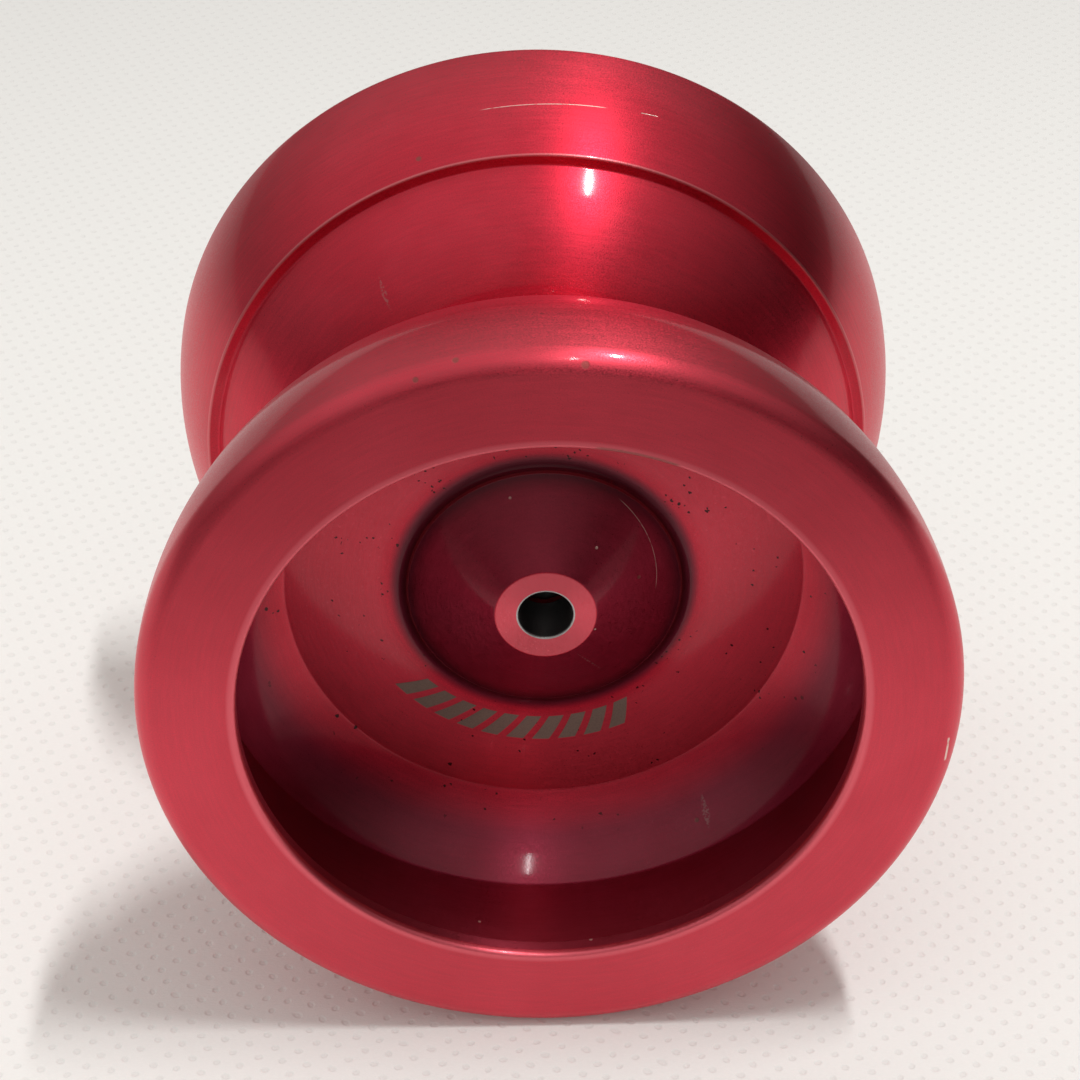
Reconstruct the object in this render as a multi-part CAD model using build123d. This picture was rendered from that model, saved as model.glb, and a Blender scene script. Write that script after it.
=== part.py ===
from build123d import *
import os

# A two-piece metal yo-yo that stands on its rims, with its spin axis along Y and +Z up.
# The origin is on the spin axis, midway between the halves. The front half lies towards -Y.
# Lengths are millimetres. A section is drawn in X and Y, as radius and distance from the
# centre plane, and turned about Y. Each front piece mirrors its rear one.

# Outer shape of a half
RIM_R = 25.0              # largest radius
HALF_WIDTH = 20.9         # centre plane to the flat rim face
RIM_ROUND = 1.3           # rounding between rim band and rim face
STEP_Y = 9.3              # the small step between catch zone and rim band
STEP_IN_R = 21.7
STEP_OUT_R = 22.43
STEP_BEVEL = 0.1

# Cup in the outer side
LIP_R = 18.9              # mouth of the cup
LIP_ROUND = 0.3
LIP_LAND = 1.3            # thickness of the lip
CUP_WALL_R = 21.5         # undercut wall behind the lip
CUP_CORNER_Y = 10.95      # where the wall meets the bowl
BOWL_ARC_R = 11.0
FLOOR_R = 16.65           # outer edge of the flat floor
FLOOR_Y = 6.85

# Hub cone in the middle of the cup
HUB_FOOT_R = 9.5
HUB_EDGE_R = 8.71
HUB_EDGE_Y = 7.3
HUB_TOP_R = 3.2
HUB_TOP_Y = 10.25
HUB_HOLE_R = 1.735
HUB_HOLE_BEVEL = 0.12

# Bearing of the usual yo-yo size: 1/4 x 1/2 x 3/16 inch with 1/16 inch balls
BEARING_BORE_R = 6.35 / 2
BEARING_OUT_R = 12.7 / 2
BEARING_WIDTH = 4.7625
BALL_R = 1.5875 / 2
BALL_COUNT = 8
PITCH_R = (BEARING_BORE_R + BEARING_OUT_R) / 2
GROOVE_R = 0.84           # radius of the ball track's section
BALL_PLAY = 0.015         # between a ball and each track
INNER_LAND_R = 4.25
OUTER_LAND_R = 5.25
RACE_BEVEL = 0.15

# Shields and the rings that hold them
SHIELD_IN_R = 4.33
SHIELD_DISH_R = 5.05
SHIELD_SEAT_R = 5.6
SHIELD_SEAT_Y = 1.8
SHIELD_THICK = 0.18
SHIELD_DISH = 0.14        # how far the shield's middle stands out
SNAP_IN_R = 5.2
SNAP_OUT_R = 5.78
SNAP_Y = 2.0
SNAP_THICK = 0.16
SNAP_SWEEP = 336          # degrees of ring, so the rest is its gap
SEAT_PLAY = 0.02

# Ball cage: a crown with open pockets
CAGE_IN_R = 4.45
CAGE_OUT_R = 5.07
CAGE_BACK_Y = 1.25
CAGE_FRONT_Y = -0.3
POCKET_R = 0.84
CAGE_SLOT = 1.0
CAGE_SLOT_END_Y = 0.7

# Axle: an M4 x 0.7 set screw, 12 long, drawn at its major radius without the thread
AXLE_LENGTH = 12.0
AXLE_R = 1.96
AXLE_BEVEL = 0.3
SOCKET_FLATS = 2.0
SOCKET_DEPTH = 1.8
THREAD_BORE_R = 2.0
THREAD_END_Y = 6.4

# Inner side of a half, round the bearing
STRING_GAP = 4.3
SEAT_R = 3.15             # the post that the bearing sits on
SEAT_TIP_Y = 0.2
SEAT_BEVEL = 0.15
SHOULDER_R = 4.2          # the only face that touches the bearing
SHOULDER_Y = 2.4
RELIEF_R = 6.7
RELIEF_Y = 2.9
PAD_IN_R = 7.1
PAD_OUT_R = 9.55
PAD_GROOVE_Y = 3.45
PAD_THICK = 1.15
PAD_PLAY = 0.02


def turned(outline):
    """Solid of revolution about the spin axis from a closed outline of edges."""
    return revolve(make_face(outline), Axis.Y)


def ring(inner_r, outer_r, start_y, end_y, sweep=360):
    """Plain ring about the spin axis."""
    size = (outer_r - inner_r, end_y - start_y)
    centre = ((inner_r + outer_r) / 2, (start_y + end_y) / 2)
    return revolve(Pos(*centre) * Rectangle(*size), Axis.Y, sweep)


def about_axis(count, phase=0.0):
    """Turns about the spin axis, evenly spaced, for pieces that repeat."""
    return [Rot(0, phase + i * 360 / count, 0) for i in range(count)]


def inner_side(gap_y):
    """Bearing post, shoulder, relief and pad groove, from the thread bore outwards."""
    return Polyline(
        (THREAD_BORE_R, SEAT_TIP_Y),
        (SEAT_R - SEAT_BEVEL, SEAT_TIP_Y),
        (SEAT_R, SEAT_TIP_Y + SEAT_BEVEL),
        (SEAT_R, SHOULDER_Y),
        (SHOULDER_R, SHOULDER_Y),
        (SHOULDER_R, RELIEF_Y),
        (RELIEF_R, RELIEF_Y),
        (RELIEF_R, gap_y),
        (PAD_IN_R, gap_y),
        (PAD_IN_R, PAD_GROOVE_Y),
        (PAD_OUT_R, PAD_GROOVE_Y),
        (PAD_OUT_R, gap_y),
    )


def outer_rim(gap_y):
    """Catch zone, step, rim band and rim face, out to the rounded lip of the cup."""
    catch = TangentArc((PAD_OUT_R, gap_y), (STEP_IN_R, STEP_Y), tangent=(1, 0))
    step = Polyline(
        (STEP_IN_R, STEP_Y),
        (STEP_OUT_R - STEP_BEVEL, STEP_Y),
        (STEP_OUT_R, STEP_Y + STEP_BEVEL),
    )
    widest_y = HALF_WIDTH - RIM_ROUND
    band = TangentArc(
        (RIM_R, widest_y), (STEP_OUT_R, STEP_Y + STEP_BEVEL), tangent=(0, -1)
    )
    corner = TangentArc(
        (RIM_R, widest_y), (RIM_R - RIM_ROUND, HALF_WIDTH), tangent=(0, 1)
    )
    face = Line((RIM_R - RIM_ROUND, HALF_WIDTH), (LIP_R + LIP_ROUND, HALF_WIDTH))
    lip = TangentArc(
        (LIP_R + LIP_ROUND, HALF_WIDTH), (LIP_R, HALF_WIDTH - LIP_ROUND), tangent=(-1, 0)
    )
    return [catch, step, band, corner, face, lip]


def cup_side():
    """Undercut wall, bowl, flat floor and hub cone, from the lip in to the hub hole."""
    undercut = CUP_WALL_R - LIP_R
    under_lip_y = HALF_WIDTH - LIP_LAND
    land = Line((LIP_R, HALF_WIDTH - LIP_ROUND), (LIP_R, under_lip_y))
    hollow = TangentArc(
        (LIP_R, under_lip_y), (CUP_WALL_R, under_lip_y - undercut), tangent=(1, 0)
    )
    wall = Line((CUP_WALL_R, under_lip_y - undercut), (CUP_WALL_R, CUP_CORNER_Y))
    bowl = RadiusArc((CUP_WALL_R, CUP_CORNER_Y), (FLOOR_R, FLOOR_Y), BOWL_ARC_R)
    floor = Line((FLOOR_R, FLOOR_Y), (HUB_FOOT_R, FLOOR_Y))
    foot = TangentArc((HUB_FOOT_R, FLOOR_Y), (HUB_EDGE_R, HUB_EDGE_Y), tangent=(-1, 0))
    hub = Polyline(
        (HUB_EDGE_R, HUB_EDGE_Y),
        (HUB_TOP_R, HUB_TOP_Y),
        (HUB_HOLE_R + HUB_HOLE_BEVEL, HUB_TOP_Y),
        (HUB_HOLE_R, HUB_TOP_Y - HUB_HOLE_BEVEL),
        (HUB_HOLE_R, THREAD_END_Y),
        (THREAD_BORE_R, THREAD_END_Y),
        (THREAD_BORE_R, SEAT_TIP_Y),
    )
    return [land, hollow, wall, bowl, floor, foot, hub]


def rear_half():
    """One half, turned from a bar in a single piece."""
    gap_y = STRING_GAP / 2
    pieces = [inner_side(gap_y), *outer_rim(gap_y), *cup_side()]
    return turned([edge for piece in pieces for edge in piece.edges()])


def rear_response_pad():
    """Silicone ring stuck to the floor of its groove."""
    return ring(
        PAD_IN_R + PAD_PLAY, PAD_OUT_R - PAD_PLAY, PAD_GROOVE_Y - PAD_THICK, PAD_GROOVE_Y
    )


def axle_stud():
    """Headless set screw with a hexagon socket in each end."""
    blank = ring(0, AXLE_R, -AXLE_LENGTH / 2, AXLE_LENGTH / 2)
    ends = blank.edges().filter_by(GeomType.CIRCLE)
    stud = chamfer(ends, AXLE_BEVEL)
    hexagon = Plane.XZ * RegularPolygon(SOCKET_FLATS / 2, 6, major_radius=False)
    socket = extrude(hexagon, SOCKET_DEPTH / 2, both=True)
    socket_y = (AXLE_LENGTH - SOCKET_DEPTH) / 2
    for end_y in (-socket_y, socket_y):
        stud -= Pos(0, end_y, 0) * socket
    return stud


def ball_track(centre_r):
    """Ring-shaped cutter for the track that the balls roll in."""
    return revolve(Pos(centre_r, 0) * Circle(GROOVE_R), Axis.Y)


def race_blank(inner_r, outer_r, bevelled_r):
    """Plain race with its two outward edges broken."""
    blank = ring(inner_r, outer_r, -BEARING_WIDTH / 2, BEARING_WIDTH / 2)
    circles = blank.edges().filter_by(GeomType.CIRCLE)
    broken = [edge for edge in circles if abs(edge.radius - bevelled_r) < 0.01]
    return chamfer(broken, RACE_BEVEL)


def bearing_inner_race():
    blank = race_blank(BEARING_BORE_R, INNER_LAND_R, BEARING_BORE_R)
    return blank - ball_track(PITCH_R - BALL_R - BALL_PLAY + GROOVE_R)


def bearing_outer_race():
    race = race_blank(OUTER_LAND_R, BEARING_OUT_R, BEARING_OUT_R)
    race -= ball_track(PITCH_R + BALL_R + BALL_PLAY - GROOVE_R)
    seat = ring(0, SHIELD_SEAT_R + SEAT_PLAY, SHIELD_SEAT_Y, BEARING_WIDTH)
    groove = ring(0, SNAP_OUT_R + SEAT_PLAY, SNAP_Y - SEAT_PLAY, SNAP_Y + SNAP_THICK)
    for cutter in (seat, groove):
        race -= cutter
        race -= mirror(cutter, Plane.XZ)
    return race


def rear_bearing_shield():
    """Pressed steel washer, dished so that it closes the bearing flush."""
    dish_y = SHIELD_SEAT_Y + SHIELD_DISH
    seat = ring(SHIELD_DISH_R, SHIELD_SEAT_R, SHIELD_SEAT_Y, SHIELD_SEAT_Y + SHIELD_THICK)
    dish = ring(SHIELD_IN_R, SHIELD_DISH_R, dish_y, dish_y + SHIELD_THICK)
    return seat + dish


def rear_snap_ring():
    """Open spring ring that holds the shield."""
    return ring(SNAP_IN_R, SNAP_OUT_R, SNAP_Y, SNAP_Y + SNAP_THICK - SEAT_PLAY, SNAP_SWEEP)


def ball_seats():
    """Ball centres as locations round the pitch circle."""
    return [turn * Pos(0, 0, PITCH_R) for turn in about_axis(BALL_COUNT)]


def ball_cage():
    """Crown cage: a ring behind the balls, with prongs that reach between them."""
    cage = ring(CAGE_IN_R, CAGE_OUT_R, CAGE_FRONT_Y, CAGE_BACK_Y)
    for seat in ball_seats():
        cage -= seat * Sphere(POCKET_R)
    depth = CAGE_SLOT_END_Y - CAGE_FRONT_Y
    slot = Box(CAGE_SLOT, 2 * depth, 2 * (CAGE_OUT_R - CAGE_IN_R))
    for turn in about_axis(BALL_COUNT, phase=180 / BALL_COUNT):
        cage -= turn * Pos(0, CAGE_SLOT_END_Y - depth, PITCH_R) * slot
    return cage


def bearing_balls():
    """Each ball on its own, numbered round the pitch circle from the top."""
    seats = enumerate(ball_seats(), start=1)
    return {f"bearing_ball_{i}": seat * Sphere(BALL_R) for i, seat in seats}


def yoyo_nodes():
    nodes = {
        "axle_stud": axle_stud(),
        "bearing_inner_race": bearing_inner_race(),
        "bearing_outer_race": bearing_outer_race(),
        "ball_cage": ball_cage(),
        **bearing_balls(),
    }
    mirrored = {
        "half": rear_half(),
        "response_pad": rear_response_pad(),
        "bearing_shield": rear_bearing_shield(),
        "snap_ring": rear_snap_ring(),
    }
    for name, rear in mirrored.items():
        nodes[f"rear_{name}"] = rear
        nodes[f"front_{name}"] = mirror(rear, Plane.XZ)
    return nodes


os.makedirs("parts", exist_ok=True)
for node, shape in yoyo_nodes().items():
    export_step(shape, f"parts/{node}.step")
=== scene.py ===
import math

import bpy
import numpy as np
from mathutils import Matrix, Vector


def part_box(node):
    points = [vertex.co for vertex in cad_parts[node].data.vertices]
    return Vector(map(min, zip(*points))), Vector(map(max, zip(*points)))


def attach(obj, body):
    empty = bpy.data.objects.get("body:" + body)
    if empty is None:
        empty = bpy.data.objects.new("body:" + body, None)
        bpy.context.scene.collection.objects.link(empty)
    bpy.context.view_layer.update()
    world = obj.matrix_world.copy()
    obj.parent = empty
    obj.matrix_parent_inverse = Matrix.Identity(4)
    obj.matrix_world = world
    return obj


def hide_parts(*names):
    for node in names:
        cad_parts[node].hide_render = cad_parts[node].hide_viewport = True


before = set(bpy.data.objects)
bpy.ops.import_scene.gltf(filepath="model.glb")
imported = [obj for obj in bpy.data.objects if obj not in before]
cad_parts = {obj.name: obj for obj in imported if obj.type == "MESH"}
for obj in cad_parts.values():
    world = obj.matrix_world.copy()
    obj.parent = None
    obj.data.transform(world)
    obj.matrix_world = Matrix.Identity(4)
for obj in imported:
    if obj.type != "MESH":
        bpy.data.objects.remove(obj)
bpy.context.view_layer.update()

MM = 0.001
FRONT, REAR = -1, 1       # sides of the centre plane, along Y
AROUND = 448              # steps round each turned half
AROUND_SMALL = 192        # steps round the small turned pieces

# Sizes of the halves in millimetres: radius, and distance from the centre plane.
RIM_R = round(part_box("front_half")[1].x / MM, 2)
HALF_WIDTH = round(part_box("rear_half")[1].y / MM, 2)
RIM_ROUND = 1.3
STEP_Y = 9.3
STEP_IN_R = 21.7
STEP_OUT_R = 22.43
LIP_R = 18.9
LIP_ROUND = 0.3
LIP_LAND = 1.3
CUP_WALL_R = 21.5
CUP_CORNER_Y = 10.95
BOWL_ARC_R = 11.0
FLOOR_R = 16.65
FLOOR_Y = 6.85
HUB_FOOT_R = 9.5
HUB_EDGE_R = 8.71
HUB_EDGE_Y = 7.3
HUB_TOP_R = 3.2
HUB_TOP_Y = 10.25
HUB_HOLE_R = 1.735
THREAD_BORE_R = 2.0
THREAD_END_Y = 6.4
SEAT_R = 3.15
SEAT_TIP_Y = 0.2
SHOULDER_R = 4.2
SHOULDER_Y = 2.4
RELIEF_R = 6.7
RELIEF_Y = 2.9
GAP_Y = 2.15
PAD_IN_R = 7.1
PAD_OUT_R = 9.55
PAD_GROOVE_Y = 3.45
PAD_FACE_Y = 2.31
PAD_CROWN = 0.12

# Bearing, its shields and rings, and the axle
BEARING_BORE_R = 3.175
BEARING_OUT_R = 6.35
BEARING_WIDTH = 4.7625
BEARING_INNER_LAND = 4.25
BEARING_OUTER_LAND = 5.25
BALL_COUNT = 8
BALL_R = 0.79375
BALL_PLAY = 0.015
PITCH_R = 4.7625
TRACK_R = 0.84
SEAT_WALL_R = 5.62
SNAP_WALL_R = 5.8
SNAP_Y = (1.98, 2.16)
SHIELD_IN_R = 4.33
SHIELD_DISH_R = 5.05
SHIELD_OUT_R = 5.6
SHIELD_Y = 1.8
SHIELD_DISH = 0.14
SHIELD_THICK = 0.18
AXLE_R = 1.96
AXLE_LENGTH = 12.0
AXLE_END_R = 1.6
THREAD_PITCH = 0.7
THREAD_DEEP = 0.4
SOCKET_FLATS = 2.0
SOCKET_DEPTH = 1.8

# Colours of the anodising, the axle and the cloth
RED = (0.6, 0.02, 0.046)
RED_PALE = (0.66, 0.03, 0.06)
AXLE_DARK = (0.2, 0.2, 0.21)
CLOTH = (0.8, 0.79, 0.765)
# Painted shade: the cloth's darker colour far behind the part.
CLOTH_FAR_SHADE = (0.57, 0.565, 0.55)

# Etched band below the hub, in millimetres and degrees, and the lattice of the cloth's pressed dots
ETCH_R = 11.45
ETCH_TALL = 1.9
ETCH_SLANT = 3.0
ETCH_PITCH = 8.0
ETCH_MIDDLE = 3 * ETCH_PITCH
ETCH_REACH = 5 * ETCH_PITCH
DOT_LATTICE = ((1.0, 0.85), (-1.6, 0.42))

# Direction of the main lamp
KEY_SIDE = (0.262, -0.04, 0.96)

# The room as light: the direction it is brightest in, the span of its ramp, and the two strengths
BRIGHT_SIDE = (-0.22, 0.0, 0.97)
ROOM_SPREAD = (-0.12, 1.0)
ROOM_STRENGTH = (0.03, 0.78)

# Camera: its place in millimetres, its angles round and above the part in degrees, and its lens
CAMERA_PLACE = (-4.658, -164.05, 107.83)
CAMERA_AZIMUTH = -1.601
CAMERA_ELEVATION = 33.58
CAMERA_SENSOR = 36
CAMERA_LENS = 99.38


# ---------------------------------------------------------------- outlines

def arc(start, end, leaving, step=0.35):
    """Points on the circle that leaves start in a direction and passes through end."""
    start, end, leaving = (np.array(v, float) for v in (start, end, leaving))
    across = np.array((-leaving[1], leaving[0])) / np.linalg.norm(leaving)
    chord = end - start
    radius = chord @ chord / (2 * chord @ across)
    centre = start + across * radius
    first = math.atan2(*(start - centre)[::-1])
    sweep = math.atan2(*(end - centre)[::-1]) - first
    if radius > 0 and sweep < 0:
        sweep += math.tau
    if radius < 0 and sweep > 0:
        sweep -= math.tau
    count = max(6, math.ceil(abs(sweep * radius) / step), math.ceil(abs(sweep) / 0.12))
    angles = first + sweep * np.linspace(0, 1, count + 1)
    return [tuple(centre + abs(radius) * np.array((math.cos(a), math.sin(a)))) for a in angles]


def eased(points, size, sharp=math.radians(17)):
    """Rounds each sharp corner of a closed outline, with a support point on each side."""
    points = [np.array(p, float) for i, p in enumerate(points) if math.dist(p, points[i - 1]) > 1e-6]
    out = []
    for i, corner in enumerate(points):
        before = points[i - 1] - corner
        after = points[(i + 1) % len(points)] - corner
        turn = math.pi - math.acos(np.clip(
            before @ after / np.linalg.norm(before) / np.linalg.norm(after), -1, 1))
        if turn < sharp:
            out.append(corner)
            continue
        ease = min(size, 0.3 * np.linalg.norm(before), 0.3 * np.linalg.norm(after))
        near = corner + before / np.linalg.norm(before) * ease
        far = corner + after / np.linalg.norm(after) * ease
        out.append(corner + (near - corner) * 1.6)
        for t in np.linspace(0, 1, 5):
            out.append((1 - t) ** 2 * near + 2 * t * (1 - t) * corner + t * t * far)
        out.append(corner + (far - corner) * 1.6)
    return np.array(out)


def filled_in(points, step):
    """Adds points along the straight runs of a closed outline, so that no run is longer than step."""
    out = []
    for i, start in enumerate(points):
        end = points[(i + 1) % len(points)]
        count = max(1, math.ceil(np.linalg.norm(end - start) / step))
        out += [start + (end - start) * k / count for k in range(count)]
    return np.array(out)


def half_outline():
    """Section of the rear half, from the gap side outwards and back through the cup."""
    widest = (RIM_R, HALF_WIDTH - RIM_ROUND)
    under_lip = HALF_WIDTH - LIP_LAND
    wall_top = (CUP_WALL_R, under_lip - (CUP_WALL_R - LIP_R))
    corner, floor = (CUP_WALL_R, CUP_CORNER_Y), (FLOOR_R, FLOOR_Y)
    chord = np.subtract(floor, corner)
    tilt = math.asin(np.linalg.norm(chord) / 2 / BOWL_ARC_R)
    turn = np.array(((math.cos(tilt), -math.sin(tilt)), (math.sin(tilt), math.cos(tilt))))
    points = [
        (THREAD_BORE_R, SEAT_TIP_Y), (SEAT_R, SEAT_TIP_Y), (SEAT_R, SHOULDER_Y),
        (SHOULDER_R, SHOULDER_Y), (SHOULDER_R, RELIEF_Y), (RELIEF_R, RELIEF_Y),
        (RELIEF_R, GAP_Y), (PAD_IN_R, GAP_Y), (PAD_IN_R, PAD_GROOVE_Y),
        (PAD_OUT_R, PAD_GROOVE_Y),
        *arc((PAD_OUT_R, GAP_Y), (STEP_IN_R, STEP_Y), (1, 0)),
        *arc(widest, (STEP_OUT_R, STEP_Y), (0, -1))[::-1],
        *arc(widest, (RIM_R - RIM_ROUND, HALF_WIDTH), (0, 1))[1:],
        *arc((LIP_R + LIP_ROUND, HALF_WIDTH), (LIP_R, HALF_WIDTH - LIP_ROUND), (-1, 0)),
        *arc((LIP_R, under_lip), wall_top, (1, 0)),
        *arc(corner, floor, turn @ chord),
        *arc((HUB_FOOT_R, FLOOR_Y), (HUB_EDGE_R, HUB_EDGE_Y), (-1, 0), 0.1),
        (HUB_TOP_R, HUB_TOP_Y), (HUB_HOLE_R, HUB_TOP_Y), (HUB_HOLE_R, THREAD_END_Y),
        (THREAD_BORE_R, THREAD_END_Y),
    ]
    return filled_in(eased(points, 0.09), 1.2)


# ---------------------------------------------------------------- meshes

def new_object(name, verts, faces, material):
    mesh = bpy.data.meshes.new(name)
    mesh.from_pydata(verts, [], faces)
    mesh.update()
    mesh.polygons.foreach_set("use_smooth", [True] * len(mesh.polygons))
    mesh.materials.append(material)
    made = bpy.data.objects.new(name, mesh)
    bpy.context.scene.collection.objects.link(made)
    return made


def lathe(name, outline, material, around=AROUND_SMALL, side=REAR):
    """Turns a closed outline in millimetres about Y. The front side mirrors it."""
    outline = np.asarray(outline, float) * MM
    count = len(outline)
    angle = np.arange(around) * math.tau / around
    radius, along = outline[:, 0], outline[:, 1] * side
    verts = np.stack([
        np.outer(np.sin(angle), radius),
        np.tile(along, (around, 1)),
        np.outer(np.cos(angle), radius),
    ], axis=-1).reshape(-1, 3)
    ring = np.arange(around)[:, None] * count
    after = (np.arange(around)[:, None] + 1) % around * count
    here, there = np.arange(count)[None, :], (np.arange(count)[None, :] + 1) % count
    faces = np.stack([ring + here, ring + there, after + there, after + here], -1).reshape(-1, 4)
    following = np.roll(outline, -1, axis=0)
    area = np.sum(outline[:, 0] * following[:, 1] - following[:, 0] * outline[:, 1]) * side
    if area > 0:
        faces = faces[:, ::-1]
    return new_object(name, verts.tolist(), faces.tolist(), material)


# ---------------------------------------------------------------- materials

class Finish:
    """A material under construction. Values may be numbers, tuples or node outputs."""

    def __init__(self, name, colour, metallic, roughness):
        self.material = bpy.data.materials.new(name)
        self.material.use_nodes = True
        self.tree = self.material.node_tree
        self.shader = self.tree.nodes["Principled BSDF"]
        self.set("Base Color", colour)
        self.set("Metallic", metallic)
        self.set("Roughness", roughness)
        coordinates = self.tree.nodes.new("ShaderNodeTexCoord").outputs["Object"]
        self.position = self.vector("MULTIPLY", coordinates, (1 / MM, 1 / MM, 1 / MM))
        split = self.tree.nodes.new("ShaderNodeSeparateXYZ")
        self.feed(split.inputs[0], self.position)
        self.x, self.y, self.z = split.outputs
        self.radius = self.math("SQRT", self.math("ADD", self.product(self.x, self.x),
                                                  self.product(self.z, self.z)))
        self.depth = self.math("ABSOLUTE", self.y)

    def feed(self, socket, value):
        if isinstance(value, bpy.types.NodeSocket):
            self.tree.links.new(value, socket)
        elif isinstance(value, tuple) and len(value) == 3 and socket.type == "RGBA":
            socket.default_value = (*value, 1)
        else:
            socket.default_value = value

    def set(self, name, value):
        self.feed(self.shader.inputs[name], value)

    def math(self, operation, a, b=0.0, c=0.0):
        node = self.tree.nodes.new("ShaderNodeMath")
        node.operation = operation
        for socket, value in zip(node.inputs, (a, b, c)):
            self.feed(socket, value)
        return node.outputs[0]

    def product(self, *factors):
        total = factors[0]
        for factor in factors[1:]:
            total = self.math("MULTIPLY", total, factor)
        return total

    def any_of(self, masks):
        """The strongest of the masks at each point."""
        total = 0.0
        for mask in masks:
            total = self.math("MAXIMUM", total, mask)
        return total

    def vector(self, operation, a, b=(0, 0, 0)):
        node = self.tree.nodes.new("ShaderNodeVectorMath")
        node.operation = operation
        self.feed(node.inputs[0], a)
        self.feed(node.inputs[1], b)
        return node.outputs["Value" if operation == "LENGTH" else "Vector"]

    def combine(self, x, y, z):
        node = self.tree.nodes.new("ShaderNodeCombineXYZ")
        for socket, value in zip(node.inputs, (x, y, z)):
            self.feed(socket, value)
        return node.outputs[0]

    def ramp(self, value, start, end, low=0.0, high=1.0):
        """Smooth step of a value between two levels."""
        node = self.tree.nodes.new("ShaderNodeMapRange")
        node.interpolation_type = "SMOOTHSTEP"
        for socket, given in zip(node.inputs, (value, start, end, low, high)):
            self.feed(socket, given)
        return node.outputs[0]

    def beside(self, value, centre, near, far, high=1.0):
        """High up to the near distance from the centre, and nothing beyond the far one."""
        away = self.math("ABSOLUTE", self.math("SUBTRACT", value, centre))
        return self.ramp(away, near, far, high, 0.0)

    def noise(self, at, scale, detail=2.0, roughness=0.5):
        node = self.tree.nodes.new("ShaderNodeTexNoise")
        self.feed(node.inputs["Vector"], at)
        node.inputs["Scale"].default_value = scale
        node.inputs["Detail"].default_value = detail
        node.inputs["Roughness"].default_value = roughness
        return node.outputs[0]

    def mix(self, factor, a, b, blend="MIX"):
        node = self.tree.nodes.new("ShaderNodeMix")
        node.data_type = "RGBA"
        node.blend_type = blend
        self.feed(node.inputs[0], factor)
        self.feed(node.inputs[6], a)
        self.feed(node.inputs[7], b)
        return node.outputs[2]

    def bump(self, height, strength, distance, under=None):
        node = self.tree.nodes.new("ShaderNodeBump")
        node.inputs["Strength"].default_value = strength
        node.inputs["Distance"].default_value = distance * MM
        self.feed(node.inputs["Height"], height)
        if under:
            self.feed(node.inputs["Normal"], under)
        return node.outputs[0]

    def angle(self, sine, cosine):
        """Angle round the spin axis, in degrees."""
        return self.product(self.math("ARCTAN2", sine, cosine), 180 / math.pi)

    def turning_lines(self, per_mm=4.0):
        """Fine rings left by the lathe: they vary with radius and depth, hardly round the axis."""
        at = self.combine(self.radius, self.product(self.depth, 1.1),
                          self.product(self.angle(self.x, self.z), 0.03))
        return self.noise(at, per_mm, 4.0, 0.65)

    def brushed(self, amount):
        """Stretches highlights across the turning lines."""
        tangent = self.tree.nodes.new("ShaderNodeTangent")
        tangent.direction_type = "RADIAL"
        tangent.axis = "Y"
        self.set("Tangent", tangent.outputs[0])
        self.set("Anisotropic", amount)
        self.set("Anisotropic Rotation", 0.25)

    def spot(self, centre, size):
        """Soft dot on the surface, size in millimetres."""
        away = self.vector("LENGTH", self.vector("SUBTRACT", self.position, centre))
        return self.ramp(away, size * 0.5, size, 1.0, 0.0)

    def streak(self, along, level, slope, turn, start, end, width):
        """Thin line round the axis from start to end degrees, at a level of radius or depth."""
        centre = self.math("MULTIPLY_ADD", self.math("SUBTRACT", turn, start), slope, level)
        span = (end - start) / 2
        return self.product(self.beside(along, centre, width * 0.4, width),
                            self.beside(turn, (start + end) / 2, span * 0.8, span))


def place(side, radius, depth, degrees):
    """Point of a half at a radius, a distance from the centre plane, and degrees from the top."""
    turn = math.radians(degrees)
    return (radius * math.sin(turn), side * depth, radius * math.cos(turn))


def rear_wear(finish, turn):
    """Masks of the rear half's scratches, dents and loose scuffs."""
    bright = [
        finish.streak(finish.depth, 13.2, 0.015, turn, -9, 11.5, 0.045),
        finish.streak(finish.depth, 13.72, 0.04, turn, 16.5, 19.5, 0.045),
    ]
    dull = [
        finish.spot(place(REAR, 22.96, 10.46, -19.4), 0.25),
        finish.spot(place(REAR, 24.9, 18.6, 40), 0.22),
    ]
    return bright, dull, finish.streak(finish.depth, 4.5, 0.6, turn, -34.6, -33.2, 0.5)


def front_wear_and_glint(finish, turn):
    """Masks of the front half's scratches, dents and loose scuffs, and of a painted highlight on the rim
    near the top.
    """
    on_rim = finish.ramp(finish.depth, HALF_WIDTH - 1.2, HALF_WIDTH - 0.9)
    on_cone = finish.streak(finish.radius, 8.33, -0.024, turn, 33, 87, 0.028)
    bright = [
        finish.product(on_cone, 0.45),
        finish.product(finish.streak(finish.radius, 24.25, 0.03, turn, 95, 99.5, 0.09), on_rim),
        finish.spot(place(FRONT, 7.6, 7.89, -16.5), 0.12),
        finish.spot(place(FRONT, 5.34, 9.1, 37), 0.12),
        finish.spot(place(FRONT, 3.35, 10.17, 111), 0.1),
        # Painted highlight: a pale spot on the rim near the top.
        finish.spot(place(FRONT, 23.55, 11.83, 5), 0.35),
        finish.spot(place(FRONT, 21.5, 15.1, -168), 0.12),
        finish.spot(place(FRONT, 18.9, 19.7, 172), 0.14),
    ]
    dull = [
        finish.spot(place(FRONT, 24.9, 20.07, -12.4), 0.26),
        finish.spot(place(FRONT, 24.34, 20.73, 4.4), 0.3),
        finish.spot(place(FRONT, 24.57, 20.56, -18), 0.22),
        finish.spot(place(FRONT, 6.18, 8.65, 74), 0.16),
        finish.spot(place(FRONT, 20.22, 9.33, 150), 0.2),
        finish.streak(finish.radius, 19.05, 0.0, turn, 7, 23, 0.2),
    ]
    return bright, dull, finish.streak(finish.depth, 8.7, 0.5, turn, 146.8, 148.6, 0.6)


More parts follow.
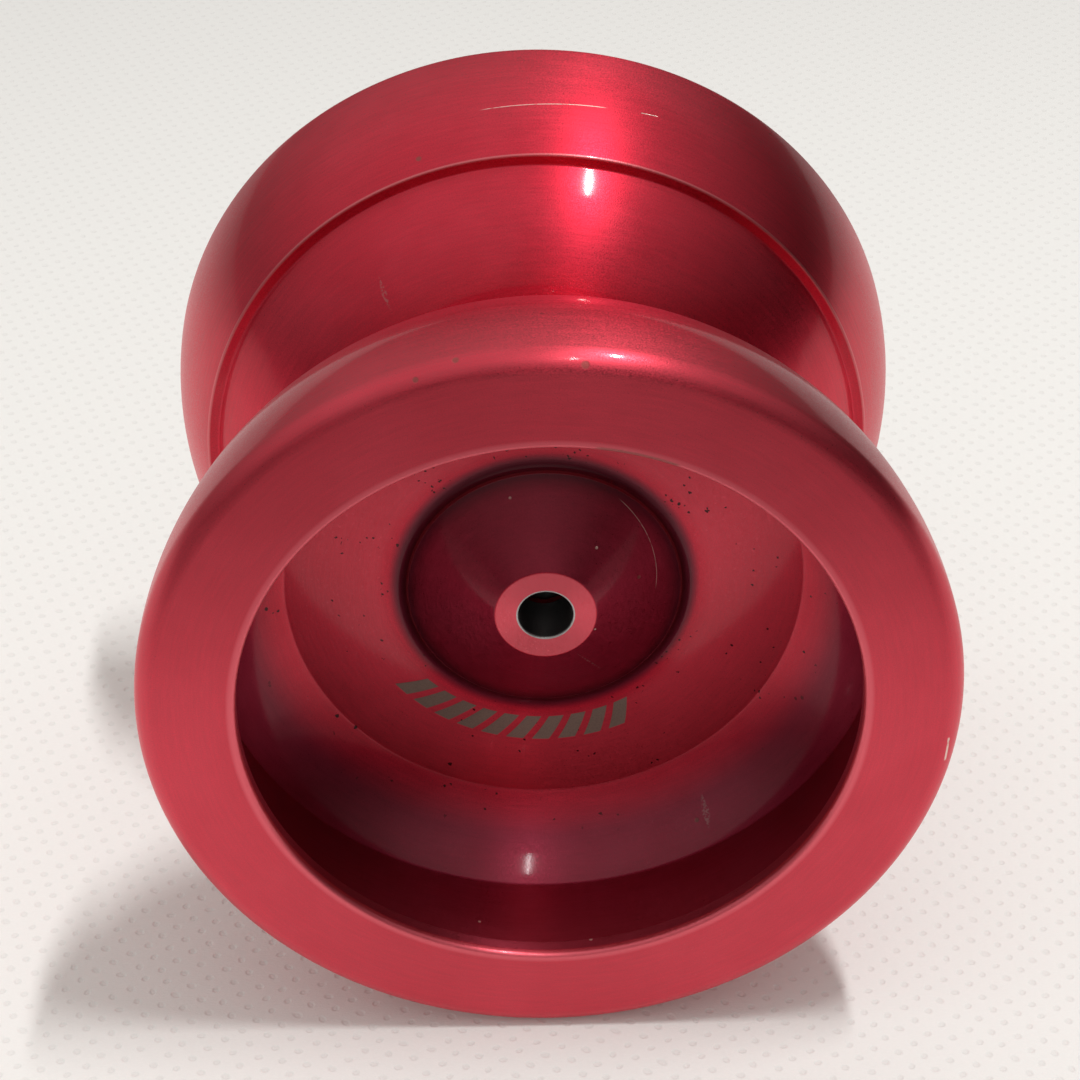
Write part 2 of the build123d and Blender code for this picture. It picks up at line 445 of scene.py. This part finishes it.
def cup_side(finish):
    """Mask of the cup's floor, hub and wall, up to the lip."""
    wall_middle = finish.math("MULTIPLY_ADD", finish.radius, 0.93, -10.0)
    return finish.product(
        finish.ramp(finish.math("SUBTRACT", finish.depth, wall_middle), 0.0, 0.2),
        finish.ramp(finish.depth, FLOOR_Y - 0.2, FLOOR_Y - 0.1),
        finish.ramp(finish.radius, CUP_WALL_R + 0.05, CUP_WALL_R + 0.2, 1.0, 0.0),
        finish.ramp(finish.depth, HALF_WIDTH - 0.6, HALF_WIDTH - 0.4, 1.0, 0.0))


def painted_shade_in_cup(finish, colour, cup):
    """Painted shade: a deeper red on the cone and the bowl, and darkest round the hub's foot."""
    foot = finish.product(
        finish.ramp(finish.radius, HUB_EDGE_R - 1.2, HUB_EDGE_R),
        finish.ramp(finish.radius, HUB_FOOT_R - 0.2, HUB_FOOT_R + 0.6, 1.0, 0.0), cup)
    cone = finish.product(
        finish.ramp(finish.radius, HUB_TOP_R, HUB_TOP_R + 0.05, 0.0, 0.75),
        finish.ramp(finish.radius, HUB_EDGE_R, HUB_EDGE_R + 0.4, 1.0, 0.0), cup)
    wall = finish.product(
        finish.ramp(finish.depth, FLOOR_Y, FLOOR_Y + 1.8, 0.0, 0.9),
        finish.ramp(finish.radius, HUB_FOOT_R, FLOOR_R), cup)
    painted_shade_colour = finish.mix(1.0, colour, (0.4, 0.85, 0.9), "MULTIPLY")
    colour = finish.mix(finish.any_of([foot, cone, wall]), colour, painted_shade_colour)
    # Painted shade: near black round the hub's foot.
    return finish.mix(finish.product(foot, 0.6), colour, (0.07, 0.01, 0.016))


def dark_specks(finish, cup):
    """Mask of small specks that gather round the hub and thin out towards the bowl."""
    zone = finish.product(
        cup,
        finish.ramp(finish.radius, 9.2, 9.6),
        finish.ramp(finish.depth, 9.0, 11.0, 1.0, 0.0),
        finish.ramp(finish.depth, 7.4, 9.0, 1.0, 0.1))
    cells = finish.tree.nodes.new("ShaderNodeTexVoronoi")
    cells.inputs["Scale"].default_value = 2.6
    uneven = finish.product(finish.noise(finish.position, 6.0, 1.0), 0.25)
    shifted = finish.combine(uneven, 0.0, finish.product(uneven, -0.8))
    finish.feed(cells.inputs["Vector"], finish.vector("ADD", finish.position, shifted))
    chance = finish.tree.nodes.new("ShaderNodeSeparateXYZ")
    finish.feed(chance.inputs[0], cells.outputs["Color"])
    gathered = finish.ramp(finish.noise(finish.position, 0.4, 2.0), 0.48, 0.64)
    share = finish.product(finish.ramp(finish.radius, 9.5, 14.5, 1.0, 0.35), gathered, 0.45)
    chosen = finish.math("LESS_THAN", chance.outputs[0], share)
    size = finish.math("MULTIPLY_ADD", chance.outputs[1], 0.26, 0.14)
    return finish.product(finish.math("LESS_THAN", cells.outputs["Distance"], size), chosen, zone)


def etched_bars(finish):
    """Mask of a band of slanted bars on the cup's floor, below the hub."""
    turn = finish.angle(finish.x, finish.product(finish.z, -1.0))
    slanted = finish.math("MULTIPLY_ADD", finish.radius, ETCH_SLANT, turn)
    group = finish.math("PINGPONG", slanted, ETCH_PITCH / 2)
    return finish.product(
        finish.ramp(group, ETCH_PITCH * 0.15, ETCH_PITCH * 0.19),
        finish.beside(finish.radius, ETCH_R, ETCH_TALL / 2 - 0.05, ETCH_TALL / 2),
        finish.beside(slanted, ETCH_MIDDLE, ETCH_REACH - 0.4, ETCH_REACH),
        finish.ramp(finish.depth, FLOOR_Y + 0.03, FLOOR_Y + 0.05, 1.0, 0.0),
        finish.ramp(finish.depth, FLOOR_Y - 0.05, FLOOR_Y - 0.03))


def step_glint_bore_shade_and_mouth(finish):
    """Masks of a painted highlight along the step's sharp edge, of painted shade on the wall of the hub
    hole, and of bare metal at the hole's mouth.
    """
    # Painted highlight: a pale line along the step's edge.
    step = finish.product(
        finish.beside(finish.depth, STEP_Y + 0.05, 0.03, 0.1),
        finish.ramp(finish.radius, STEP_OUT_R - 0.15, STEP_OUT_R - 0.08), 0.28)
    hole = finish.ramp(finish.radius, HUB_HOLE_R + 0.1, HUB_HOLE_R + 0.14, 1.0, 0.0)
    # Painted shade: dark grey on the wall of the hub hole.
    painted_bore_shade = finish.product(hole, finish.ramp(finish.depth, THREAD_END_Y - 0.3, THREAD_END_Y))
    mouth = finish.product(hole, finish.ramp(finish.depth, HUB_TOP_Y - 0.16, HUB_TOP_Y - 0.1), 0.7)
    return step, painted_bore_shade, mouth


def painted_sheen(finish, side):
    """Mask of the paler places, a painted sheen and painted highlights: end face, lip, hub tip, the hub's
    foot edge and the cup's floor.
    """
    end_face = finish.ramp(finish.depth, 12.0, HALF_WIDTH, 0.0, 0.26 if side == FRONT else 0.08)
    lip = finish.product(
        finish.beside(finish.radius, LIP_R + 0.2, 0.1, 0.6, 0.9),
        finish.ramp(finish.depth, HALF_WIDTH - 0.6, HALF_WIDTH - 0.3))
    tip = finish.product(
        finish.ramp(finish.radius, HUB_TOP_R - 0.05, HUB_TOP_R, 0.6, 0.0),
        finish.ramp(finish.depth, HUB_TOP_Y - 0.1, HUB_TOP_Y - 0.05))
    edge = finish.product(
        finish.beside(finish.radius, HUB_EDGE_R + 0.04, 0.03, 0.1, 0.3),
        finish.ramp(finish.depth, FLOOR_Y + 0.1, FLOOR_Y + 0.2),
        finish.ramp(finish.depth, 8.0, 8.5, 1.0, 0.0))
    floor_ring = finish.product(
        finish.ramp(finish.radius, HUB_FOOT_R + 0.3, HUB_FOOT_R + 1.5, 0.0, 0.22),
        finish.ramp(finish.depth, FLOOR_Y + 0.05, FLOOR_Y + 0.3, 1.0, 0.0),
        finish.ramp(finish.depth, FLOOR_Y - 0.1, FLOOR_Y - 0.05),
        finish.ramp(finish.radius, FLOOR_R - 0.5, FLOOR_R + 0.5, 1.0, 0.0))
    return finish.any_of([end_face, lip, tip, edge, floor_ring])


def anodised_red(name, side):
    """Satin red anodising over turned and blasted aluminium, with this half's own wear, and with painted
    shade in the cup and the hole, a painted sheen and painted highlights.
    """
    finish = Finish(name, RED, 1.0, 0.36)
    finish.brushed(0.8)
    finish.set("Coat Weight", 0.3)
    finish.set("Coat Roughness", 0.09)
    finish.set("Coat IOR", 1.6)
    lines = finish.turning_lines()
    grain = finish.noise(finish.position, 11.0, 2.0, 0.6)
    clouds = finish.noise(finish.position, 0.12, 3.0, 0.55)
    broken = finish.ramp(finish.noise(finish.position, 1.6, 3.0), 0.3, 0.5, 0.15, 1.0)
    scattered = finish.ramp(finish.noise(finish.position, 7.0, 3.0), 0.4, 0.6)

    # On the front, the bright marks include a painted highlight on the rim.
    wear = front_wear_and_glint if side == FRONT else rear_wear
    bright, dull, loose = wear(finish, finish.angle(finish.x, finish.z))
    bright = finish.product(finish.any_of(bright), broken)
    dull = finish.any_of(dull)
    cup = cup_side(finish)
    etched = etched_bars(finish)
    step, painted_bore_shade, mouth = step_glint_bore_shade_and_mouth(finish)

    colour = finish.mix(finish.ramp(clouds, 0.35, 0.65), RED, RED_PALE)
    shade = finish.product(finish.math("MULTIPLY_ADD", lines, 0.45, 0.775),
                           finish.math("MULTIPLY_ADD", grain, 0.7, 0.65))
    colour = finish.mix(1.0, colour, finish.combine(shade, shade, shade), "MULTIPLY")
    # Painted shade in the cup.
    colour = painted_shade_in_cup(finish, colour, cup)
    paints = [
        # Painted sheen and highlights: paler red on the end face, lip, hub tip, hub edge and cup floor.
        (painted_sheen(finish, side), (0.85, 0.14, 0.18)),
        (dark_specks(finish, cup), (0.06, 0.008, 0.01)),
        (finish.product(dull, 0.55), (0.3, 0.13, 0.1)),
        (finish.product(loose, scattered, 0.35), (0.45, 0.3, 0.28)),
        (etched, (0.31, 0.23, 0.19)),
        # Painted highlight along the step's edge.
        (step, (0.85, 0.45, 0.45)),
        # Bright marks: scratches, and on the front a painted highlight on the rim.
        (bright, (0.85, 0.62, 0.55)),
        # Painted shade inside the hub hole.
        (painted_bore_shade, (0.16, 0.15, 0.15)),
        (mouth, (0.7, 0.7, 0.69)),
    ]
    for mask, paint in paints:
        colour = finish.mix(mask, colour, paint)
    finish.set("Base Color", colour)

    rough = finish.math("MULTIPLY_ADD", grain, 0.6, 0.06)
    for mask, amount in ((lines, 0.1), (etched, 0.12), (dull, 0.15)):
        rough = finish.math("MULTIPLY_ADD", mask, amount, rough)
    finish.set("Roughness", rough)

    marks = finish.math("ADD", finish.product(dull, -0.3), finish.product(etched, -0.25))
    marks = finish.math("MULTIPLY_ADD", bright, -0.5, marks)
    normal = finish.bump(grain, 0.5, 0.01)
    normal = finish.bump(lines, 0.6, 0.014, normal)
    finish.set("Normal", finish.bump(marks, 0.7, 0.05, normal))
    return finish.material


def steel(name, colour, roughness, brushed=0.0, lines=0.0, stain=0.1):
    """Bare steel with handling stains, fine grain and, where it was turned or ground, its lines."""
    finish = Finish(name, colour, 1.0, roughness)
    stains = finish.ramp(finish.noise(finish.position, 0.9, 4.0, 0.6), 0.42, 0.7)
    grain = finish.noise(finish.position, 14.0, 3.0, 0.6)
    dark = tuple(c * (1 - stain * k) for c, k in zip(colour, (2.4, 2.8, 3.4)))
    finish.set("Base Color", finish.mix(stains, colour, dark))
    rough = finish.math("MULTIPLY_ADD", stains, stain, roughness - 0.04)
    finish.set("Roughness", finish.math("MULTIPLY_ADD", grain, 0.1, rough))
    normal = finish.bump(grain, 0.25, 0.004)
    if lines:
        normal = finish.bump(finish.turning_lines(9.0), lines, 0.005, normal)
    if brushed:
        finish.brushed(brushed)
    finish.set("Normal", normal)
    return finish.material


def silicone():
    """Cast silicone ring, matt, with a little string dust in its middle."""
    finish = Finish("pad_silicone", (0.78, 0.77, 0.72), 0.0, 0.55)
    finish.set("Subsurface Weight", 0.2)
    finish.set("Subsurface Scale", 0.6 * MM)
    finish.set("Subsurface Radius", (1.0, 0.9, 0.8))
    mottled = finish.noise(finish.position, 1.4, 4.0, 0.6)
    pores = finish.noise(finish.position, 9.0, 3.0, 0.7)
    dust = finish.product(finish.beside(finish.radius, (PAD_IN_R + PAD_OUT_R) / 2, 0.3, 1.1),
                          finish.ramp(mottled, 0.4, 0.65), 0.5)
    colour = finish.mix(finish.ramp(mottled, 0.3, 0.7), (0.8, 0.79, 0.74), (0.72, 0.71, 0.66))
    finish.set("Base Color", finish.mix(dust, colour, (0.5, 0.47, 0.42)))
    finish.set("Roughness", finish.math("MULTIPLY_ADD", pores, 0.2, 0.45))
    finish.set("Normal", finish.bump(pores, 0.5, 0.02))
    return finish.material


def axle_steel():
    """Dark rolled steel, polished along the crests of the thread."""
    finish = Finish("axle_dark_steel", AXLE_DARK, 1.0, 0.4)
    stains = finish.noise(finish.position, 1.3, 4.0, 0.6)
    grain = finish.noise(finish.position, 12.0, 3.0, 0.6)
    colour = finish.mix(finish.ramp(stains, 0.35, 0.7), AXLE_DARK, (0.12, 0.115, 0.11))
    crest = finish.product(finish.ramp(finish.radius, 1.82, 1.93), finish.ramp(stains, 0.25, 0.6, 1.0, 0.5))
    finish.set("Base Color", finish.mix(crest, colour, (0.5, 0.5, 0.5)))
    finish.set("Roughness", finish.math("MULTIPLY_ADD", grain, 0.14, 0.32))
    finish.set("Normal", finish.bump(grain, 0.3, 0.01))
    return finish.material


def pressed_dots(finish):
    """Mask of the dots, which stand on a slightly wavy lattice."""
    (ax, ay), (bx, by) = DOT_LATTICE
    area = ax * by - ay * bx
    wobble = finish.noise(finish.position, 0.35, 1.0)
    x = finish.math("MULTIPLY_ADD", wobble, 0.9, finish.x)
    y = finish.math("MULTIPLY_ADD", wobble, -0.7, finish.y)

    def wrapped(along_x, along_y):
        turns = finish.math("MULTIPLY_ADD", x, along_x, finish.product(y, along_y))
        return finish.math("SUBTRACT", finish.math("FRACT", turns), 0.5)

    u = wrapped(by / area, -bx / area)
    v = wrapped(-ay / area, ax / area)
    dx = finish.math("MULTIPLY_ADD", u, ax, finish.product(v, bx))
    dy = finish.math("MULTIPLY_ADD", u, ay, finish.product(v, by))
    return finish.ramp(finish.vector("LENGTH", finish.combine(dx, dy, 0.0)), 0.12, 0.32, 1.0, 0.0)


def floor_cloth():
    """White bonded cloth with a lattice of small pressed dots, with painted shade towards the back and, for
    mirrored rays, in front, and a faint painted glow.
    """
    finish = Finish("floor_cloth", CLOTH, 0.0, 0.85)
    finish.set("Specular IOR Level", 0.2)
    dots = pressed_dots(finish)
    fibres = finish.noise(finish.vector("MULTIPLY", finish.position, (1.0, 2.2, 1.0)), 3.5, 4.0, 0.7)
    # Painted shade: the cloth grows darker towards the back.
    far = finish.ramp(finish.y, 0.0, 260.0)
    shown = finish.product(dots, finish.math("MULTIPLY_ADD", far, -0.2, 0.26))
    colour = finish.mix(far, CLOTH, CLOTH_FAR_SHADE)
    colour = finish.mix(shown, colour, (0.6, 0.58, 0.56))
    colour = finish.mix(finish.ramp(fibres, 0.3, 0.7, 0.0, 0.12), colour, (0.66, 0.65, 0.63))
    # Painted shade on the floor in front, for mirrored rays only, so that the metal there keeps its depth
    # of colour.
    mirrored = finish.tree.nodes.new("ShaderNodeLightPath").outputs["Is Glossy Ray"]
    mirrored_front_shade = finish.product(finish.ramp(finish.y, -110.0, -28.0, 0.8, 0.0), mirrored)
    finish.set("Base Color", finish.mix(mirrored_front_shade, colour, (0.02, 0.02, 0.02)))
    # Painted light: the cloth glows faintly, which lifts its shadows.
    finish.set("Emission Color", (1.0, 0.92, 0.87))
    finish.set("Emission Strength", 0.07)
    height = finish.math("MULTIPLY_ADD", dots, -1.0, finish.product(fibres, 0.5))
    finish.set("Normal", finish.bump(height, 0.5, 0.12))
    return finish.material


# ---------------------------------------------------------------- the pieces

def pad_outline():
    """Silicone ring with a slightly crowned face towards the string."""
    inner_r, outer_r = PAD_IN_R + 0.03, PAD_OUT_R - 0.03
    crown = [(inner_r + (outer_r - inner_r) * t, PAD_FACE_Y + PAD_CROWN * (2 * t - 1) ** 2)
             for t in np.linspace(0, 1, 9)]
    return eased(crown + [(outer_r, PAD_GROOVE_Y), (inner_r, PAD_GROOVE_Y)], 0.12, math.radians(40))


def track(centre_r, land_r):
    """Arc of a ball track's section, from its +Y edge to its -Y edge."""
    half = math.acos((land_r - centre_r) / TRACK_R)
    if land_r > centre_r:
        turns = np.linspace(half, -half, 15)
    else:
        turns = np.linspace(half, math.tau - half, 15)
    return [(centre_r + TRACK_R * math.cos(t), TRACK_R * math.sin(t)) for t in turns]


def inner_race_outline():
    half = BEARING_WIDTH / 2
    land = BEARING_INNER_LAND
    rolled = track(PITCH_R - BALL_R - BALL_PLAY + TRACK_R, land)
    points = [(BEARING_BORE_R, half), (BEARING_BORE_R, -half), (land, -half), *rolled[::-1], (land, half)]
    return filled_in(eased(points, 0.12, math.radians(35)), 0.5)


def outer_race_outline():
    half = BEARING_WIDTH / 2
    land = BEARING_OUTER_LAND
    rolled = track(PITCH_R + BALL_R + BALL_PLAY - TRACK_R, land)
    seat = [(SEAT_WALL_R, half), (SEAT_WALL_R, SNAP_Y[1]), (SNAP_WALL_R, SNAP_Y[1]),
            (SNAP_WALL_R, SNAP_Y[0]), (SEAT_WALL_R, SNAP_Y[0]), (SEAT_WALL_R, SHIELD_Y), (land, SHIELD_Y)]
    mirrored = [(radius, -along) for radius, along in seat[::-1]]
    points = [*seat, *rolled, *mirrored, (BEARING_OUT_R, -half), (BEARING_OUT_R, half)]
    return filled_in(eased(points, 0.05, math.radians(35)), 0.6)


def shield_outline():
    """Pressed washer: a flat seat, a short slope and a raised middle."""
    raised = SHIELD_Y + SHIELD_DISH
    near = [(SHIELD_IN_R, raised), (SHIELD_DISH_R - 0.06, raised), (SHIELD_DISH_R + 0.03, SHIELD_Y),
            (SHIELD_OUT_R, SHIELD_Y)]
    far = [(SHIELD_OUT_R, SHIELD_Y + SHIELD_THICK), (SHIELD_DISH_R + 0.07, SHIELD_Y + SHIELD_THICK),
           (SHIELD_DISH_R - 0.02, raised + SHIELD_THICK), (SHIELD_IN_R, raised + SHIELD_THICK)]
    return filled_in(eased(near + far, 0.04), 0.3)


def axle_stud(material):
    """Headless screw: a rolled thread with bevelled ends and a hexagon socket in each."""
    around = 96
    turn = np.arange(around) * math.tau / around
    third = math.radians(60)
    hexagon = SOCKET_FLATS / 2 / np.cos((turn + third / 2) % third - third / 2)
    end = AXLE_LENGTH / 2
    bottom = end - SOCKET_DEPTH
    rows = [(0.02, -bottom + 0.2), (hexagon * 0.96, -bottom), (hexagon, -bottom - 0.06),
            (hexagon, -end + 0.08), (hexagon * 1.06, -end)]
    for along in np.linspace(-end, end, 241):
        phase = (along / THREAD_PITCH + turn / math.tau) % 1
        flank = np.clip(np.abs(phase - 0.5) * 2.6 - 0.25, 0, 1)
        thread = AXLE_R - THREAD_DEEP * flank
        rows.append((np.minimum(thread, AXLE_END_R + end - abs(along)), along))
    rows += [(radius, -along) for radius, along in rows[4::-1]]
    verts = []
    for radius, along in rows:
        radius = np.broadcast_to(radius, around)
        ring = [radius * np.sin(turn), np.full(around, along), radius * np.cos(turn)]
        verts += np.stack(ring, -1).tolist()
    faces = []
    for row in range(len(rows) - 1):
        for k in range(around):
            here, after = row * around + k, row * around + (k + 1) % around
            faces.append((here, here + around, after + around, after))
    last = (len(rows) - 1) * around
    faces.append(list(range(around)))
    faces.append([last + k for k in range(around)][::-1])
    stud = new_object("axle_stud_threaded", [[c * MM for c in v] for v in verts], faces, material)
    stud.data.set_sharp_from_angle(angle=math.radians(32))
    return stud


def ball(number, material):
    """A ball round the middle of its CAD node."""
    low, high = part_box(f"bearing_ball_{number}")
    bpy.ops.mesh.primitive_ico_sphere_add(subdivisions=4, radius=BALL_R * MM, location=(0, 0, 0))
    made = bpy.context.object
    made.name = f"bearing_ball_{number}_lapped"
    made.data.transform(Matrix.Translation((Vector(low) + Vector(high)) / 2))
    made.data.polygons.foreach_set("use_smooth", [True] * len(made.data.polygons))
    made.data.materials.append(material)
    return made


def stand_for(piece, body, node):
    """The piece moves with a body, and is shown in place of a CAD node."""
    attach(piece, body)
    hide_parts(node)


race_steel = steel("race_steel", (0.66, 0.66, 0.67), 0.2, brushed=0.5, lines=0.4, stain=0.06)
shield_steel = steel("shield_steel", (0.6, 0.6, 0.61), 0.3, brushed=0.4, lines=0.5)
wire_steel = steel("snap_ring_steel", (0.42, 0.42, 0.44), 0.34)
cage_steel = steel("cage_steel", (0.62, 0.58, 0.52), 0.36)
ball_steel = steel("ball_steel", (0.74, 0.74, 0.75), 0.1, stain=0.03)
pad_silicone = silicone()

for side, name in ((FRONT, "front"), (REAR, "rear")):
    red = anodised_red(f"anodised_red_{name}", side)
    stand_for(lathe(f"{name}_half_turned", half_outline(), red, AROUND, side),
              f"{name}_half", f"{name}_half")
    stand_for(lathe(f"{name}_response_pad_cast", pad_outline(), pad_silicone, side=side),
              f"{name}_half", f"{name}_response_pad")
    stand_for(lathe(f"{name}_shield_pressed", shield_outline(), shield_steel, side=side),
              "outer_race", f"{name}_bearing_shield")
    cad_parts[f"{name}_snap_ring"].material_slots[0].material = wire_steel
stand_for(lathe("bearing_inner_race_ground", inner_race_outline(), race_steel),
          "inner_race", "bearing_inner_race")
stand_for(lathe("bearing_outer_race_ground", outer_race_outline(), race_steel),
          "outer_race", "bearing_outer_race")
stand_for(axle_stud(axle_steel()), "front_half", "axle_stud")
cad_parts["ball_cage"].material_slots[0].material = cage_steel
for number in range(1, BALL_COUNT + 1):
    stand_for(ball(number, ball_steel), f"ball_{number}", f"bearing_ball_{number}")

# ---------------------------------------------------------------- floor, light and camera

FLOOR_Z = -RIM_R * MM
bpy.ops.mesh.primitive_plane_add(size=6, location=(0, 0, FLOOR_Z))
floor = bpy.context.object
floor.name = "floor"
floor.data.materials.append(floor_cloth())


def area_light(name, direction, size, power):
    """A soft lamp, one metre from the part, whose size is its width and its length along the axis."""
    light = bpy.data.lights.new(name, "AREA")
    light.shape = "ELLIPSE"
    light.size, light.size_y = size
    light.energy = power
    lamp = bpy.data.objects.new(name, light)
    back = Vector(direction).normalized()
    along = (Vector((0, 1, 0)) - back * back.y).normalized()
    lamp.location = back
    lamp.rotation_mode = "QUATERNION"
    lamp.rotation_quaternion = Matrix((along.cross(back), along, back)).transposed().to_quaternion()
    bpy.context.scene.collection.objects.link(lamp)
    return lamp


def lit_only(lamp, receiver):
    """Lets one object alone take a lamp's light."""
    chosen = bpy.data.collections.new(f"{lamp.name}_on")
    chosen.objects.link(receiver)
    lamp.light_linking.receiver_collection = chosen


def room_world():
    """A plain room as light: brighter above and a little to the left, dim near the floor."""
    world = bpy.data.worlds.new("room")
    bpy.context.scene.world = world
    world.use_nodes = True
    nodes, links = world.node_tree.nodes, world.node_tree.links
    background = nodes["Background"]
    coordinates = nodes.new("ShaderNodeTexCoord")
    toward = nodes.new("ShaderNodeVectorMath")
    toward.operation = "DOT_PRODUCT"
    toward.inputs[1].default_value = BRIGHT_SIDE
    links.new(coordinates.outputs["Generated"], toward.inputs[0])
    ramp = nodes.new("ShaderNodeMapRange")
    ramp.interpolation_type = "SMOOTHSTEP"
    for socket, value in zip(ramp.inputs[1:], (*ROOM_SPREAD, *ROOM_STRENGTH)):
        socket.default_value = value
    links.new(toward.outputs["Value"], ramp.inputs["Value"])
    background.inputs["Color"].default_value = (1, 0.98, 0.95, 1)
    links.new(ramp.outputs["Result"], background.inputs["Strength"])


area_light("key", KEY_SIDE, (0.03, 0.3), 3.6)
lit_only(area_light("key_on_cloth", KEY_SIDE, (0.045, 0.3), 2.3), floor)
lit_only(area_light("front_lamp", (0.1, -0.52, 0.85), (0.012, 0.26), 0.6),
         bpy.data.objects["front_half_turned"])
room_world()

camera_data = bpy.data.cameras.new("camera")
camera_data.sensor_width = CAMERA_SENSOR
camera_data.lens = CAMERA_LENS
camera_data.clip_start = 0.005
camera = bpy.data.objects.new("camera", camera_data)
bpy.context.scene.collection.objects.link(camera)
azimuth, elevation = math.radians(CAMERA_AZIMUTH), math.radians(CAMERA_ELEVATION)
camera.location = Vector(CAMERA_PLACE) * MM
back = Vector((math.sin(azimuth) * math.cos(elevation),
               -math.cos(azimuth) * math.cos(elevation), math.sin(elevation)))
right = Vector((0, 0, 1)).cross(back).normalized()
camera.rotation_mode = "QUATERNION"
camera.rotation_quaternion = Matrix((right, back.cross(right), back)).transposed().to_quaternion()
bpy.context.scene.camera = camera
bpy.context.scene.view_settings.view_transform = "Standard"
